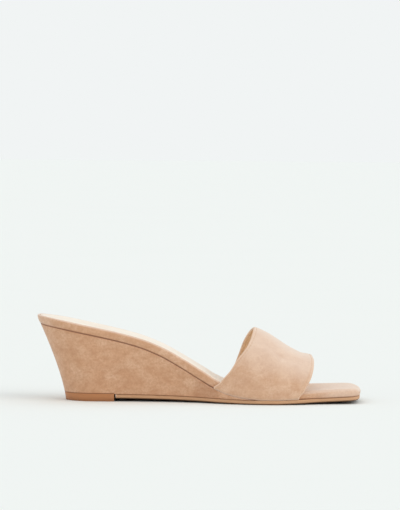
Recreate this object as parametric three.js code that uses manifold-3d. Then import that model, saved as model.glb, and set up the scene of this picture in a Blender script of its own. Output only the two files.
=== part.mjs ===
// A wedge mule: a right shoe with a square open toe, one broad strap over the forefoot and a covered wedge.
// It is built as it is made: strap, footbed board, sock, wedge, outsole and heel lift are separate solids.
// Millimetres, +Z up. +X runs from heel to toe, and -Y is the outer side of the foot.
import * as THREE from 'three';
import Module from 'manifold-3d';

const wasm = await Module();
wasm.setup();

// The last: length, widths and heights
const shoeLength = 240;
const ballWidth = 80;
const heelHeight = 56.8;
const toeSpring = 2.4;
const springCurve = 1.05;
const instepHeight = 43.6;
const toeHeight = 22.3;
const ridgeOffset = 3;

// Ends of the outline
const heelRound = 31;
const toeCorner = 11;
const toeBow = 1.6;

// Footbed board, wrapped in suede
const boardThickness = 6.6;
const toeBoardThickness = 6.2;
const boardLean = 2.4;
const seatCup = 1.4;
const cupStart = 70;
const cupEnd = 140;

// Sock, the leather that the foot rests on, let into the top of the board
const sockThickness = 1;
const sockSink = 0.9;
const sockInset = 2.4;
const sockLength = 186;

// Outsole, lift and wedge
const soleThickness = 3.0;
const soleInset = 0.6;
const soleEdgeBevel = 0.9;
const archRise = 2.0;
const archCurve = 1.3;
const treadStart = 157;
const treadEnd = 178;
const liftThickness = 5.5;
const liftLength = 36.3;
const soleGap = 1.3;
const wedgeLength = 150;
const backRake = 19.4;
const rakeCurve = 1.35;
const rakeReach = 66;
const sideDraft = 0.17;
const seamInset = 0.4;
const flareLead = 14;
const flareRun = 4;
const flareTail = 8;
const flareShort = 0.2;

// Strap: wall, tucked margin, and where its edges cross the top and the two sides of the board
const strapThickness = 2;
const marginThickness = 1.2;
const marginWidth = 12;
const marginBend = 0.7;
const rearEdgeTop = 160.7;
const rearEdgeOuter = 132.2;
const rearEdgeInner = 140.8;
const frontEdgeTop = 203;
const frontEdgeOuter = 192.3;
const frontEdgeInner = 196;
const edgeCurve = 0.87;

// Fit
const clearance = 0.3;
const strapGap = 0.35;

// Steps round one side of the outline, over the strap and along it. The seats cut for the strap are coarser.
const outlineSteps = { heel: 9, side: 30, corner: 5, front: 4 };
const strapSteps = { girth: 28, length: 10 };
const seatSteps = { girth: 20, length: 8 };

// Half widths of the board from the line through the heel, as shares of ballWidth
const plan = [
  { x: 0.0, outer: 0.352, inner: 0.352 },
  { x: 0.12, outer: 0.358, inner: 0.355 },
  { x: 0.25, outer: 0.345, inner: 0.332 },
  { x: 0.4, outer: 0.345, inner: 0.305 },
  { x: 0.5, outer: 0.38, inner: 0.32 },
  { x: 0.58, outer: 0.44, inner: 0.37 },
  { x: 0.66, outer: 0.5, inner: 0.435 },
  { x: 0.72, outer: 0.515, inner: 0.475 },
  { x: 0.78, outer: 0.49, inner: 0.49 },
  { x: 0.86, outer: 0.43, inner: 0.475 },
  { x: 0.93, outer: 0.385, inner: 0.445 },
  { x: 1.0, outer: 0.355, inner: 0.41 },
];

// Side profile of the board: how far it has risen, as a share of the heel, and how much of its heel thickness it keeps
const profile = [
  { x: 0.0, rise: 1.0, board: 1 },
  { x: 0.08, rise: 0.938, board: 1 },
  { x: 0.14, rise: 0.882, board: 1 },
  { x: 0.2, rise: 0.826, board: 1 },
  { x: 0.26, rise: 0.765, board: 1 },
  { x: 0.32, rise: 0.69, board: 1 },
  { x: 0.38, rise: 0.58, board: 1 },
  { x: 0.44, rise: 0.433, board: 1 },
  { x: 0.5, rise: 0.27, board: 1 },
  { x: 0.55, rise: 0.138, board: 0.8 },
  { x: 0.6, rise: 0.055, board: 0.45 },
  { x: 0.65, rise: 0.015, board: 0.15 },
  { x: 0.7, rise: 0.0, board: 0 },
  { x: 1.0, rise: 0.0, board: 0 },
];

// Crown of the strap along the shoe: 0 is the height at its front edge, 1 at its rear edge
const crown = [
  { x: 0.54, height: 1.463, roundness: 2.15 },
  { x: 0.6, height: 1.243, roundness: 2.15 },
  { x: 0.664, height: 1.0, roundness: 2.2 },
  { x: 0.689, height: 0.895, roundness: 2.2 },
  { x: 0.714, height: 0.752, roundness: 2.25 },
  { x: 0.739, height: 0.57, roundness: 2.3 },
  { x: 0.764, height: 0.382, roundness: 2.35 },
  { x: 0.789, height: 0.223, roundness: 2.4 },
  { x: 0.814, height: 0.09, roundness: 2.45 },
  { x: 0.834, height: 0.041, roundness: 2.48 },
  { x: 0.852, height: 0.0, roundness: 2.5 },
  { x: 0.9, height: -0.07, roundness: 2.5 },
];

// Edges of the strap by height, from the board to the crown, as shares of the way from bottom to top. The front edge
// bulges forward a little below the crown.
const strapEdges = [
  { x: 0.0, rearOuter: 0.0, rearInner: 0.0, front: 0.0 },
  { x: 0.1, rearOuter: 0.138, rearInner: 0.1, front: 0.305 },
  { x: 0.2, rearOuter: 0.245, rearInner: 0.2, front: 0.445 },
  { x: 0.35, rearOuter: 0.42, rearInner: 0.345, front: 0.685 },
  { x: 0.5, rearOuter: 0.565, rearInner: 0.475, front: 0.853 },
  { x: 0.75, rearOuter: 0.845, rearInner: 0.68, front: 1.015 },
  { x: 0.93, rearOuter: 0.967, rearInner: 0.89, front: 1.06 },
  { x: 1.0, rearOuter: 1.0, rearInner: 1.0, front: 1.0 },
];

// Side of the board, from its underside round to its top: inset from the outline in millimetres, share of the height
const boardSide = [
  { inset: 0.9, rise: 0.0 },
  { inset: 0.3, rise: 0.12 },
  { inset: 0.05, rise: 0.38 },
  { inset: 0.0, rise: 0.66 },
  { inset: 0.6, rise: 0.85 },
  { inset: 2.0, rise: 1.0 },
];

const { clamp, lerp, smoothstep } = THREE.MathUtils;

// A smooth curve through one column of a table. It is level where the column turns, so it never overshoots a row.
function through(rows, column) {
  const slopes = rows.slice(1).map((row, i) => (row[column] - rows[i][column]) / (row.x - rows[i].x));
  const tangents = rows.map((_, i) => {
    const before = slopes[Math.max(i - 1, 0)];
    const after = slopes[Math.min(i, slopes.length - 1)];
    return before * after > 0 ? (2 * before * after) / (before + after) : 0;
  });
  return (x) => {
    const next = rows.findIndex((row, i) => i > 0 && (x <= row.x || i === rows.length - 1));
    const [from, to] = [rows[next - 1], rows[next]];
    const span = to.x - from.x;
    const s = clamp((x - from.x) / span, 0, 1);
    const [s2, s3] = [s * s, s * s * s];
    return (
      (2 * s3 - 3 * s2 + 1) * from[column] +
      (s3 - 2 * s2 + s) * span * tangents[next - 1] +
      (3 * s2 - 2 * s3) * to[column] +
      (s3 - s2) * span * tangents[next]
    );
  };
}

const outerHalf = through(plan, 'outer');
const innerHalf = through(plan, 'inner');
const riseAt = through(profile, 'rise');
const boardShare = through(profile, 'board');
const crownHeight = through(crown, 'height');
const crownRoundness = through(crown, 'roundness');
const rearEdgeShares = [through(strapEdges, 'rearOuter'), through(strapEdges, 'rearInner')];
const frontEdgeShare = through(strapEdges, 'front');

// Half width of the board at x on one side: side is -1 for the outer and 1 for the inner side of the foot
function halfWidth(x, side) {
  return ballWidth * (side < 0 ? outerHalf : innerHalf)(x / shoeLength);
}

// How far the back of the board and of the wedge has leaned in, at the seam between them
const boardBulge = boardSide.find(({ inset }) => inset === 0).rise;
const seamLean = boardLean * boardBulge + seamInset;
const liftFront = seamLean + backRake + liftLength;

function springAt(x) {
  return toeSpring * clamp((x - treadEnd) / (shoeLength - treadEnd), 0, 1) ** springCurve;
}

// Underside of the outsole: flat at the tread, arched behind it and sprung towards the toe
function soleUnderside(x) {
  const arch = clamp((treadStart - x) / (treadStart - liftFront), 0, 1);
  return archRise * Math.sin((arch * Math.PI) / 2) ** archCurve + springAt(x);
}

// Underside of the footbed board, resting on the outsole in front and on the wedge behind
function boardUnderside(x) {
  const tread = soleThickness + clearance;
  return tread + (heelHeight - tread) * riseAt(x / shoeLength) + springAt(x);
}

// Top of the board at its edge, measured square to its slope
function boardEdgeTop(x) {
  const thickness = lerp(toeBoardThickness, boardThickness, boardShare(x / shoeLength));
  const slope = boardUnderside(x + 0.5) - boardUnderside(x - 0.5);
  return boardUnderside(x) + thickness * Math.hypot(1, slope);
}

// Top of the board. Under the heel it is a shallow bowl inside the outline, which fades out to a flat top.
function boardTop(x, y) {
  const across = y / halfWidth(x, y);
  const back = Math.max(0, 1 - x / heelRound);
  const bowl = Math.max(0, 1 - across * across - back * back);
  return boardEdgeTop(x) - seatCup * bowl * (1 - smoothstep(x, cupStart, cupEnd));
}

// Stations round one side of the outline, from the middle of the heel to the middle of the toe.
// A station's half width is (half width at x - drop) * share, so heel and toe corners are round.
function outlineStations() {
  const { heel, side, corner, front } = outlineSteps;
  const cornerStart = shoeLength - toeBow - toeCorner;
  const stations = [];
  for (let i = 0; i < heel; i += 1) {
    const angle = (i / heel) * (Math.PI / 2);
    stations.push({ x: heelRound * (1 - Math.cos(angle)), share: Math.sin(angle), drop: 0 });
  }
  for (let i = 0; i < side; i += 1) {
    stations.push({ x: lerp(heelRound, cornerStart, i / side), share: 1, drop: 0 });
  }
  for (let i = 0; i < corner; i += 1) {
    const angle = (i / corner) * (Math.PI / 2);
    stations.push({
      x: cornerStart + toeCorner * Math.sin(angle),
      share: 1,
      drop: toeCorner * (1 - Math.cos(angle)),
    });
  }
  for (let i = 0; i <= front; i += 1) {
    const share = 1 - i / front;
    stations.push({ x: shoeLength - toeBow * share * share, share, drop: toeCorner });
  }
  return stations;
}

function edgePoint(station, side) {
  const half = (halfWidth(station.x, side) - station.drop) * station.share;
  return new THREE.Vector3(station.x, side * half, 0);
}

// A ring has two sides, outer and inner, each running from heel to toe through the same stations
function ring(stations, place) {
  return [-1, 1].map((side) => stations.map((station) => place(station, side)));
}

// Moves a ring inwards by a distance, square to its outline
function insetRing([outer, inner], distance) {
  const loop = [...outer, ...[...inner].reverse()];
  const moved = loop.map((point, i) => {
    const neighbour = (step) => {
      let j = i;
      do j = (j + step + loop.length) % loop.length;
      while (loop[j].distanceTo(point) < 1e-6);
      return loop[j];
    };
    const along = neighbour(1).clone().sub(neighbour(-1)).normalize();
    return new THREE.Vector3(point.x - along.y * distance, point.y + along.x * distance, point.z);
  });
  return [moved.slice(0, outer.length), moved.slice(outer.length).reverse()];
}

// A closed surface from a list of faces: shared corners are merged and faces without area are dropped
function closedSurface(faces) {
  const points = [];
  const found = new Map();
  const indexOf = (point) => {
    const key = [point.x, point.y, point.z].map((value) => Math.round(value * 1e4)).join(' ');
    if (!found.has(key)) found.set(key, points.push(point) - 1);
    return found.get(key);
  };
  const triangles = faces
    .map((face) => face.map(indexOf))
    .filter(([a, b, c]) => a !== b && b !== c && c !== a);
  return { points, triangles };
}

function quad(a, b, c, d) {
  return [
    [a, b, c],
    [a, c, d],
  ];
}

// Closes a stack of rings. Each ring is spanned from its outer to its inner side in a number of steps. The first and
// last ring are capped, and capHeights gives the height of what lies between their sides.
function loft(rings, across = 1, capHeights = []) {
  const grids = rings.map(([outer, inner], level) => {
    const isEnd = level === 0 || level === rings.length - 1;
    const heightAt = isEnd ? capHeights[Math.sign(level)] : undefined;
    return outer.map((from, i) =>
      Array.from({ length: across + 1 }, (_, j) => {
        const point = from.clone().lerp(inner[i], j / across);
        if (heightAt && j > 0 && j < across) point.z = heightAt(point.x, point.y);
        return point;
      }),
    );
  });
  const border = (grid) => [
    ...grid.map((row) => row[0]),
    ...grid.at(-1).slice(1, -1),
    ...grid.map((row) => row[across]).reverse(),
    ...grid[0].slice(1, -1).reverse(),
  ];
  const faces = [];
  for (let level = 0; level + 1 < grids.length; level += 1) {
    const [low, high] = [border(grids[level]), border(grids[level + 1])];
    low.forEach((point, i) => {
      const next = (i + 1) % low.length;
      faces.push(...quad(point, low[next], high[next], high[i]));
    });
  }
  [grids[0], grids.at(-1)].forEach((grid, end) => {
    for (let i = 0; i + 1 < grid.length; i += 1) {
      for (let j = 0; j < across; j += 1) {
        const corners = [grid[i][j], grid[i + 1][j], grid[i + 1][j + 1], grid[i][j + 1]];
        faces.push(...quad(...(end ? corners : corners.reverse())));
      }
    }
  });
  return closedSurface(faces);
}

function toManifold({ points, triangles }) {
  const vertProperties = new Float32Array(points.flatMap((point) => point.toArray()));
  return new wasm.Manifold(new wasm.Mesh({ numProp: 3, vertProperties, triVerts: new Uint32Array(triangles.flat()) }));
}

function fromManifold(solid) {
  const { vertProperties, triVerts } = solid.getMesh();
  const points = [];
  for (let i = 0; i < vertProperties.length; i += 3) {
    points.push(new THREE.Vector3(vertProperties[i], vertProperties[i + 1], vertProperties[i + 2]));
  }
  const triangles = [];
  for (let i = 0; i < triVerts.length; i += 3) triangles.push([...triVerts.slice(i, i + 3)]);
  return { points, triangles };
}

function boxBetween(low, high) {
  const geometry = new THREE.BoxGeometry(high.x - low.x, high.y - low.y, high.z - low.z);
  geometry.translate((low.x + high.x) / 2, (low.y + high.y) / 2, (low.z + high.z) / 2);
  const position = geometry.getAttribute('position');
  const corner = (i) => new THREE.Vector3().fromBufferAttribute(position, i);
  const faces = [];
  const { array } = geometry.index;
  for (let i = 0; i < array.length; i += 3) faces.push([corner(array[i]), corner(array[i + 1]), corner(array[i + 2])]);
  return toManifold(closedSurface(faces));
}

// Flank of the wedge at a height z. It narrows towards the floor, leans in from the back of the seat, and flares out
// under the strap to just short of the strap's outside.
function flankPoint(station, side, z) {
  const { x } = station;
  const seam = boardUnderside(x) - clearance;
  const depth = Math.max(seam - z, 0);
  const leanShare = 1 - clamp(z / heelHeight, 0, 1) ** rakeCurve;
  const reach = Math.max(0, 1 - x / rakeReach);
  const half = halfWidth(x, side);
  const flareIn = smoothstep(x, rearEdgeOuter - flareLead, rearEdgeOuter + flareRun);
  const flareOut = smoothstep(x, frontEdgeOuter, frontEdgeTop + flareTail);
  const flare = flareIn * (1 - flareOut) * (strapGap + strapThickness - flareShort);
  const width = half - seamInset - sideDraft * depth + flare;
  const scale = width / half;
  const edge = edgePoint(station, side);
  return new THREE.Vector3(x + (seamLean + backRake * leanShare) * reach, edge.y * scale, z);
}

// Point of the strap's lining at x. Along the girth, -2 to -1 is the outer margin under the board, -1 to 0 its bend,
// 0 to 1 the arch over the foot, 1 to 2 the inner bend and 2 to 3 the inner margin.
function liningPoint(x, girth) {
  const side = girth < 0.5 ? -1 : 1;
  const way = girth < 0.5 ? girth : 1 - girth;
  const foot = boardUnderside(x) + marginThickness + marginBend;
  const [outer, inner] = [-1, 1].map((end) => halfWidth(x, end) + strapGap);
  const half = side < 0 ? outer : inner;
  if (way < -1) {
    return new THREE.Vector3(x, side * (half - marginBend + (way + 1) * marginWidth), foot - marginBend);
  }
  if (way < 0) {
    const angle = -way * (Math.PI / 2);
    const y = side * (half - marginBend * (1 - Math.cos(angle)));
    return new THREE.Vector3(x, y, foot - marginBend * Math.sin(angle));
  }
  const power = 2 / crownRoundness(x / shoeLength);
  const tread = soleThickness + clearance + toeBoardThickness;
  const top = tread + toeHeight + (instepHeight - toeHeight) * crownHeight(x / shoeLength);
  const angle = way * Math.PI;
  const rise = Math.sin(angle) ** power;
  const middle = (inner - outer) / 2;
  const y = middle + side * ((outer + inner) / 2) * Math.max(Math.cos(angle), 0) ** power;
  return new THREE.Vector3(x, y + ridgeOffset * Math.sin(angle) ** 2, foot + (top - foot) * rise);
}

function strapNormal(x, girth) {
  const step = 1e-3;
  const along = liningPoint(x + step, girth).sub(liningPoint(x - step, girth));
  const round = liningPoint(x, girth + step).sub(liningPoint(x, girth - step));
  return along.cross(round).normalize();
}

// Where the strap's rear edge (0) or front edge (1) crosses the girth
function strapEdgeX(girth, edge) {
  const height = Math.sin(clamp(girth, 0, 1) * Math.PI) ** edgeCurve;
  const side = girth < 0.5 ? 0 : 1;
  return edge
    ? lerp([frontEdgeOuter, frontEdgeInner][side], frontEdgeTop, frontEdgeShare(height))
    : lerp([rearEdgeOuter, rearEdgeInner][side], rearEdgeTop, rearEdgeShares[side](height));
}

// The flank where it meets a surface whose height changes along the shoe
function flankAt(station, side, heightAt) {
  const first = flankPoint(station, side, heightAt(station.x));
  const point = flankPoint(station, side, heightAt(first.x));
  point.z = heightAt(point.x);
  return point;
}

// Shares of the way round the strap, closer together where it bends
function girthsAt(archSteps) {
  const margin = [-2, -1.5, -1];
  const bend = [-2 / 3, -1 / 3];
  const arch = Array.from({ length: archSteps + 1 }, (_, i) => i / archSteps);
  const first = [...margin, ...bend];
  return [...first, ...arch, ...first.map((step) => 1 - step).reverse()];
}

// The strap as one wall. grown is how much larger than the real wall it is all round, for cutting its seat.
function strapSolid(steps, grown) {
  const rings = girthsAt(steps.girth).map((girth, row, all) => {
    const last = row === all.length - 1;
    const reach = grown / marginWidth;
    const at = girth + (row === 0 ? -reach : 0) + (last ? reach : 0);
    const tucked = clamp(Math.max(-at, at - 1), 0, 1);
    const wall = lerp(strapThickness, marginThickness, tucked);
    const rear = strapEdgeX(girth, 0) - grown;
    const front = strapEdgeX(girth, 1) + grown;
    const place = (x, depth) => liningPoint(x, at).addScaledVector(strapNormal(x, at), depth);
    const fold = 0.3 * wall;
    const column = (depth) => [
      place(rear - fold, wall / 2),
      ...Array.from({ length: steps.length + 1 }, (_, i) => place(lerp(rear, front, i / steps.length), depth)),
      place(front + fold, wall / 2),
    ];
    return [column(wall + grown), column(-grown)];
  });
  return loft(rings);
}

// Footbed board: full outline and rounded edges, cut away for the strap's margins below and for the sock above
function footbed() {
  const stations = outlineStations();
  const outline = ring(stations, edgePoint);
  const rings = boardSide.map(({ inset, rise }) =>
    insetRing(outline, inset).map((points) =>
      points.map((point) => {
        const x = point.x + boardLean * (boardBulge - rise) * Math.max(0, 1 - point.x / rakeReach);
        return new THREE.Vector3(x, point.y, lerp(boardUnderside(x), boardTop(x, point.y), rise));
      }),
    ),
  );
  const board = toManifold(loft(rings, 6, [boardUnderside, boardTop]));
  const seats = toManifold(strapSolid(seatSteps, clearance)).add(toManifold(sockSolid(clearance)));
  return fromManifold(board.subtract(seats));
}

// Sock: a thin sheet from the heel to under the strap. grown is how much larger it is all round, for cutting its seat.
function sockSolid(grown) {
  const stations = outlineStations();
  const front = stations.filter(({ x }) => x < sockLength).length;
  stations.splice(front, 0, { x: sockLength + grown, share: 1, drop: 0 });
  const outline = ring(stations, edgePoint);
  const surface = (lift) => (x, y) => boardTop(x, y) - sockSink + lift;
  const layer = (lift) =>
    insetRing(outline, sockInset - grown).map((points) =>
      points.slice(0, front + 1).map(({ x, y }) => new THREE.Vector3(x, y, surface(lift)(x, y))),
    );
  const [low, high] = [-grown, sockThickness + grown];
  return loft([layer(low), layer(high)], 6, [surface(low), surface(high)]);
}

// Wedge: a block under the board that runs out to a thin tip, with a seat cut in its heel for the lift
function wedge() {
  const levels = 6;
  const stations = outlineStations().filter(({ x }) => x < wedgeLength);
  stations.push({ x: wedgeLength, share: 1, drop: 0 });
  const bottom = (x) => soleUnderside(x) + soleThickness + clearance;
  const top = (x) => boardUnderside(x) - clearance;
  const rings = Array.from({ length: levels + 1 }, (_, level) =>
    ring(stations, (station, side) => flankAt(station, side, (x) => lerp(bottom(x), top(x), level / levels))),
  );
  const block = toManifold(loft(rings, 4, [bottom, top]));
  const seat = boxBetween(
    new THREE.Vector3(-clearance, -ballWidth, 0),
    new THREE.Vector3(liftFront + clearance, ballWidth, liftThickness + clearance),
  );
  return fromManifold(block.subtract(seat));
}

// Outsole: a sheet with a bevelled edge, from a narrow gap in front of the lift to the toe
function outsole() {
  const stations = outlineStations();
  const layer = (inset, height) => {
    const edge = ring(stations, (station, side) => flankAt(station, side, (x) => soleUnderside(x) + height));
    return insetRing(edge, soleInset + inset).map((points) =>
      points.map(({ x, y }) => new THREE.Vector3(x, y, soleUnderside(x) + height)),
    );
  };
  const rings = [layer(soleEdgeBevel, 0), layer(0, soleEdgeBevel), layer(0, soleThickness)];
  const sheet = toManifold(loft(rings, 4, [soleUnderside, (x) => soleUnderside(x) + soleThickness]));
  const behind = boxBetween(
    new THREE.Vector3(-shoeLength, -ballWidth, -heelHeight),
    new THREE.Vector3(liftFront + soleGap, ballWidth, heelHeight),
  );
  return fromManifold(sheet.subtract(behind));
}

// Lift: the block under the heel, cut square at its front
function heelLift() {
  const stations = outlineStations();
  const levels = [0, 0.5, 1].map((share) => share * liftThickness);
  const rings = levels.map((z) => ring(stations, (station, side) => flankPoint(station, side, z)));
  const block = toManifold(loft(rings, 1));
  const heel = boxBetween(
    new THREE.Vector3(-shoeLength, -ballWidth, -heelHeight),
    new THREE.Vector3(liftFront, ballWidth, heelHeight),
  );
  return fromManifold(block.intersect(heel));
}

function piece(name, { points, triangles }, color, roughness) {
  const geometry = new THREE.BufferGeometry().setFromPoints(points);
  geometry.setIndex(triangles.flat());
  geometry.computeVertexNormals();
  const mesh = new THREE.Mesh(geometry, new THREE.MeshStandardMaterial({ color, roughness, metalness: 0 }));
  mesh.name = name;
  return mesh;
}

const suede = '#c8a181';
const shoe = new THREE.Group();
shoe.add(
  piece('upper', strapSolid(strapSteps, 0), '#d5b090', 0.95),
  piece('footbed', footbed(), suede, 0.95),
  piece('sock', sockSolid(0), '#f0e2cf', 0.6),
  piece('wedge', wedge(), suede, 0.95),
  piece('outsole', outsole(), '#c59a74', 0.7),
  piece('heel_lift', heelLift(), '#b07a4f', 0.6),
);

// The origin is on the floor under the middle of the shoe
const extent = new THREE.Box3().setFromObject(shoe);
const centre = extent.getCenter(new THREE.Vector3());
shoe.position.set(-centre.x, -centre.y, -extent.min.z);

export default shoe;
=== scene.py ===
"""A wedge mule for the right foot, in tan suede, on a pale floor. Lengths are in millimetres up to the mesh."""
import math
from bisect import bisect
from collections import Counter

import bpy
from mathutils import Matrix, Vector
from mathutils.kdtree import KDTree


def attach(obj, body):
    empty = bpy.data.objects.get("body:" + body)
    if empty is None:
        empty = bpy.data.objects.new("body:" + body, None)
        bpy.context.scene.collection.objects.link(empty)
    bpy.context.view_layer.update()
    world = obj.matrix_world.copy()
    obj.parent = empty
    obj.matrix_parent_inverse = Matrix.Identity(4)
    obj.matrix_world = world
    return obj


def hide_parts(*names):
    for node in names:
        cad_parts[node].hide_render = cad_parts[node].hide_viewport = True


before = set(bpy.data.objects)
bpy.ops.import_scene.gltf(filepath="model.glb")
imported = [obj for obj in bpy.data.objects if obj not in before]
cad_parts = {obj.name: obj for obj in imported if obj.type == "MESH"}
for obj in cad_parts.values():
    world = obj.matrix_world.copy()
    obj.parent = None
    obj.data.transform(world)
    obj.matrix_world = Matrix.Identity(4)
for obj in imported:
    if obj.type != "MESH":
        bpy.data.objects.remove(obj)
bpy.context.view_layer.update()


shoe_length = 240.0
ball_width = 80.0
heel_height = 56.8
toe_spring = 2.4
spring_curve = 1.05
tread_end = 178.0
sole_thickness = 3.0
gap = 0.3
glue_line = 0.1  # what is left open at a seam, to the eye
board_thickness = 6.6
toe_board_thickness = 6.2
board_lean = 2.4
board_bulge = 0.66
rake_reach = 66.0
heel_round = 31.0
seat_cup = 1.4
seat_fade = (70.0, 140.0)  # where the bowl under the heel levels out, along the shoe
toe_corner = 11.0
toe_bow = 1.6
sock_front = 186.0
sock_seat = 1.0
heel_line = 1.04  # from the middle of the part's box to the line through the heel, towards the inner side


def through(*rows):
    """A smooth curve through rows of (x, value). It is level where the values turn, so it never overshoots a row."""
    xs, values = zip(*rows)
    slopes = [(values[i + 1] - values[i]) / (xs[i + 1] - xs[i]) for i in range(len(xs) - 1)]
    pairs = zip([slopes[0], *slopes], [*slopes, slopes[-1]])
    tangents = [2 * s * t / (s + t) if s * t > 0 else 0.0 for s, t in pairs]

    def value_at(x):
        i = min(max(bisect(xs, x) - 1, 0), len(xs) - 2)
        span = xs[i + 1] - xs[i]
        s = min(max((x - xs[i]) / span, 0.0), 1.0)
        return ((2 * s**3 - 3 * s**2 + 1) * values[i] + (s**3 - 2 * s**2 + s) * span * tangents[i]
                + (3 * s**2 - 2 * s**3) * values[i + 1] + (s**3 - s**2) * span * tangents[i + 1])

    return value_at


def lerp(a, b, t):
    return a + (b - a) * t


def ramp(x, start, end):
    """Goes smoothly from 0 at start to 1 at end."""
    t = min(max((x - start) / (end - start), 0.0), 1.0)
    return t * t * (3 - 2 * t)


# Half widths of the board, the rise of its underside and its thickness, as shares of the named sizes by share of the
# length
outer_half = through((0, 0.352), (0.12, 0.358), (0.25, 0.345), (0.4, 0.345), (0.5, 0.38), (0.58, 0.44), (0.66, 0.5),
                     (0.72, 0.515), (0.78, 0.49), (0.86, 0.43), (0.93, 0.385), (1, 0.355))
inner_half = through((0, 0.352), (0.12, 0.355), (0.25, 0.332), (0.4, 0.305), (0.5, 0.32), (0.58, 0.37), (0.66, 0.435),
                     (0.72, 0.475), (0.78, 0.49), (0.86, 0.475), (0.93, 0.445), (1, 0.41))
rise_share = through((0, 1), (0.08, 0.938), (0.14, 0.882), (0.2, 0.826), (0.26, 0.765), (0.32, 0.69), (0.38, 0.58),
                     (0.44, 0.433), (0.5, 0.27), (0.55, 0.138), (0.6, 0.055), (0.65, 0.015), (0.7, 0), (1, 0))
board_share = through((0, 1), (0.5, 1), (0.55, 0.8), (0.6, 0.45), (0.65, 0.15), (0.7, 0), (1, 0))


def half_width(x, side):
    return ball_width * (outer_half if side < 0 else inner_half)(x / shoe_length)


def spring(x):
    return toe_spring * min(max((x - tread_end) / (shoe_length - tread_end), 0.0), 1.0) ** spring_curve


def board_underside(x):
    tread = sole_thickness + gap
    return tread + (heel_height - tread) * rise_share(x / shoe_length) + spring(x)


def board_edge_top(x):
    thickness = lerp(toe_board_thickness, board_thickness, board_share(x / shoe_length))
    return board_underside(x) + thickness * math.hypot(1, board_underside(x + 0.5) - board_underside(x - 0.5))


def board_top(x, y):
    """Top of the board, a shallow bowl under the heel."""
    across = y / half_width(x, y)
    back = max(0.0, 1 - x / heel_round)
    bowl = max(0.0, 1 - across * across - back * back)
    return board_edge_top(x) - seat_cup * bowl * (1 - ramp(x, *seat_fade))


def outline_stations(heel=26, sides=96, corner=14, front=10):
    """Stations round one side, from the middle of the heel to the middle of the toe, as (x, share, drop)."""
    corner_start = shoe_length - toe_bow - toe_corner
    quarter = math.pi / 2
    stations = [(heel_round * (1 - math.cos(i / heel * quarter)), math.sin(i / heel * quarter), 0.0)
                for i in range(heel)]
    stations += [(lerp(heel_round, corner_start, i / sides), 1.0, 0.0) for i in range(sides)]
    stations += [(corner_start + toe_corner * math.sin(i / corner * quarter), 1.0,
                  toe_corner * (1 - math.cos(i / corner * quarter))) for i in range(corner)]
    stations += [(shoe_length - toe_bow * (1 - i / front) ** 2, 1 - i / front, toe_corner) for i in range(front + 1)]
    return stations


def edge_point(station, side):
    x, share, drop = station
    return Vector((x, side * (half_width(x, side) - drop) * share, 0.0))


def ring(stations, place):
    """A ring has an outer and an inner side, each running from heel to toe."""
    return [[place(station, side) for station in stations] for side in (-1, 1)]


def inset(sides, distance):
    """Moves a ring inwards, square to its outline."""
    outer, inner = sides
    loop = outer + inner[::-1]
    moved = []
    for i, point in enumerate(loop):
        def neighbour(step):
            j = (i + step) % len(loop)
            while (loop[j] - point).length < 1e-6:
                j = (j + step) % len(loop)
            return loop[j]
        along = (neighbour(1) - neighbour(-1)).normalized()
        moved.append(Vector((point.x - along.y * distance, point.y + along.x * distance, point.z)))
    return [moved[:len(outer)], moved[len(outer):][::-1]]


def in_frame(point):
    """A point in millimetres from the middle of the heel, in metres in the part's frame."""
    return (point[0] - shoe_length / 2) / 1000, (point[1] + heel_line) / 1000, point[2] / 1000


def mesh_piece(name, points, faces, slots=None, sharp=180.0):
    """A mesh in the part's frame, in metres, with doubled points merged. Faces without area are left out, and so are
    two that lie back to back where a thin edge closes up. slots gives each face its material, and edges that turn by
    more than sharp degrees aren't smoothed."""
    found, verts, index = {}, [], []
    for point in points:
        key = tuple(round(c, 3) for c in point)
        if key not in found:
            found[key] = len(verts)
            verts.append(in_frame(point))
        index.append(found[key])
    merged = [list(dict.fromkeys(index[i] for i in face)) for face in faces]
    uses = Counter(frozenset(corners) for corners in merged)
    kept = [i for i, corners in enumerate(merged) if len(corners) > 2 and uses[frozenset(corners)] == 1]
    mesh = bpy.data.meshes.new(name)
    mesh.from_pydata(verts, [], [merged[i] for i in kept])
    mesh.polygons.foreach_set("material_index", [slots[i] if slots else 0 for i in kept])
    mesh.shade_smooth()
    mesh.set_sharp_from_angle(angle=math.radians(sharp))
    piece = bpy.data.objects.new(name, mesh)
    bpy.context.collection.objects.link(piece)
    return piece


def loft(name, rings, across, low_height, high_height, sharp=180.0):
    """Closes a stack of rings. Each end is spanned from side to side in so many steps, at heights given by a function
    of x and y."""
    points, faces, grids = [], [], []
    for level, (outer, inner) in enumerate(rings):
        height = {0: low_height, len(rings) - 1: high_height}.get(level)
        grid = []
        for start, end in zip(outer, inner):
            row = []
            for j in range(across + 1):
                point = start.lerp(end, j / across)
                if height and 0 < j < across:
                    point.z = height(point.x, point.y)
                row.append(len(points))
                points.append(point)
            grid.append(row)
        grids.append(grid)

    def border(grid):
        return [row[0] for row in grid] + grid[-1][1:-1] + [row[-1] for row in reversed(grid)] + grid[0][-2:0:-1]

    for low, high in zip(grids, grids[1:]):
        low, high = border(low), border(high)
        faces += [(low[i - 1], low[i], high[i], high[i - 1]) for i in range(len(low))]
    for end, grid in enumerate((grids[0], grids[-1])):
        for row, following in zip(grid, grid[1:]):
            for j in range(across):
                corners = [row[j], following[j], following[j + 1], row[j + 1]]
                faces.append(corners if end else corners[::-1])
    return mesh_piece(name, points, faces, sharp=sharp)


def write_attribute(piece, name, value_at):
    """Gives each point a number worked out from its place in millimetres."""
    layer = piece.data.attributes.new(name, "FLOAT", "POINT")
    for vertex, item in zip(piece.data.vertices, layer.data):
        x, y, z = vertex.co * 1000
        item.value = value_at(x + shoe_length / 2, y - heel_line, z)


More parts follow.
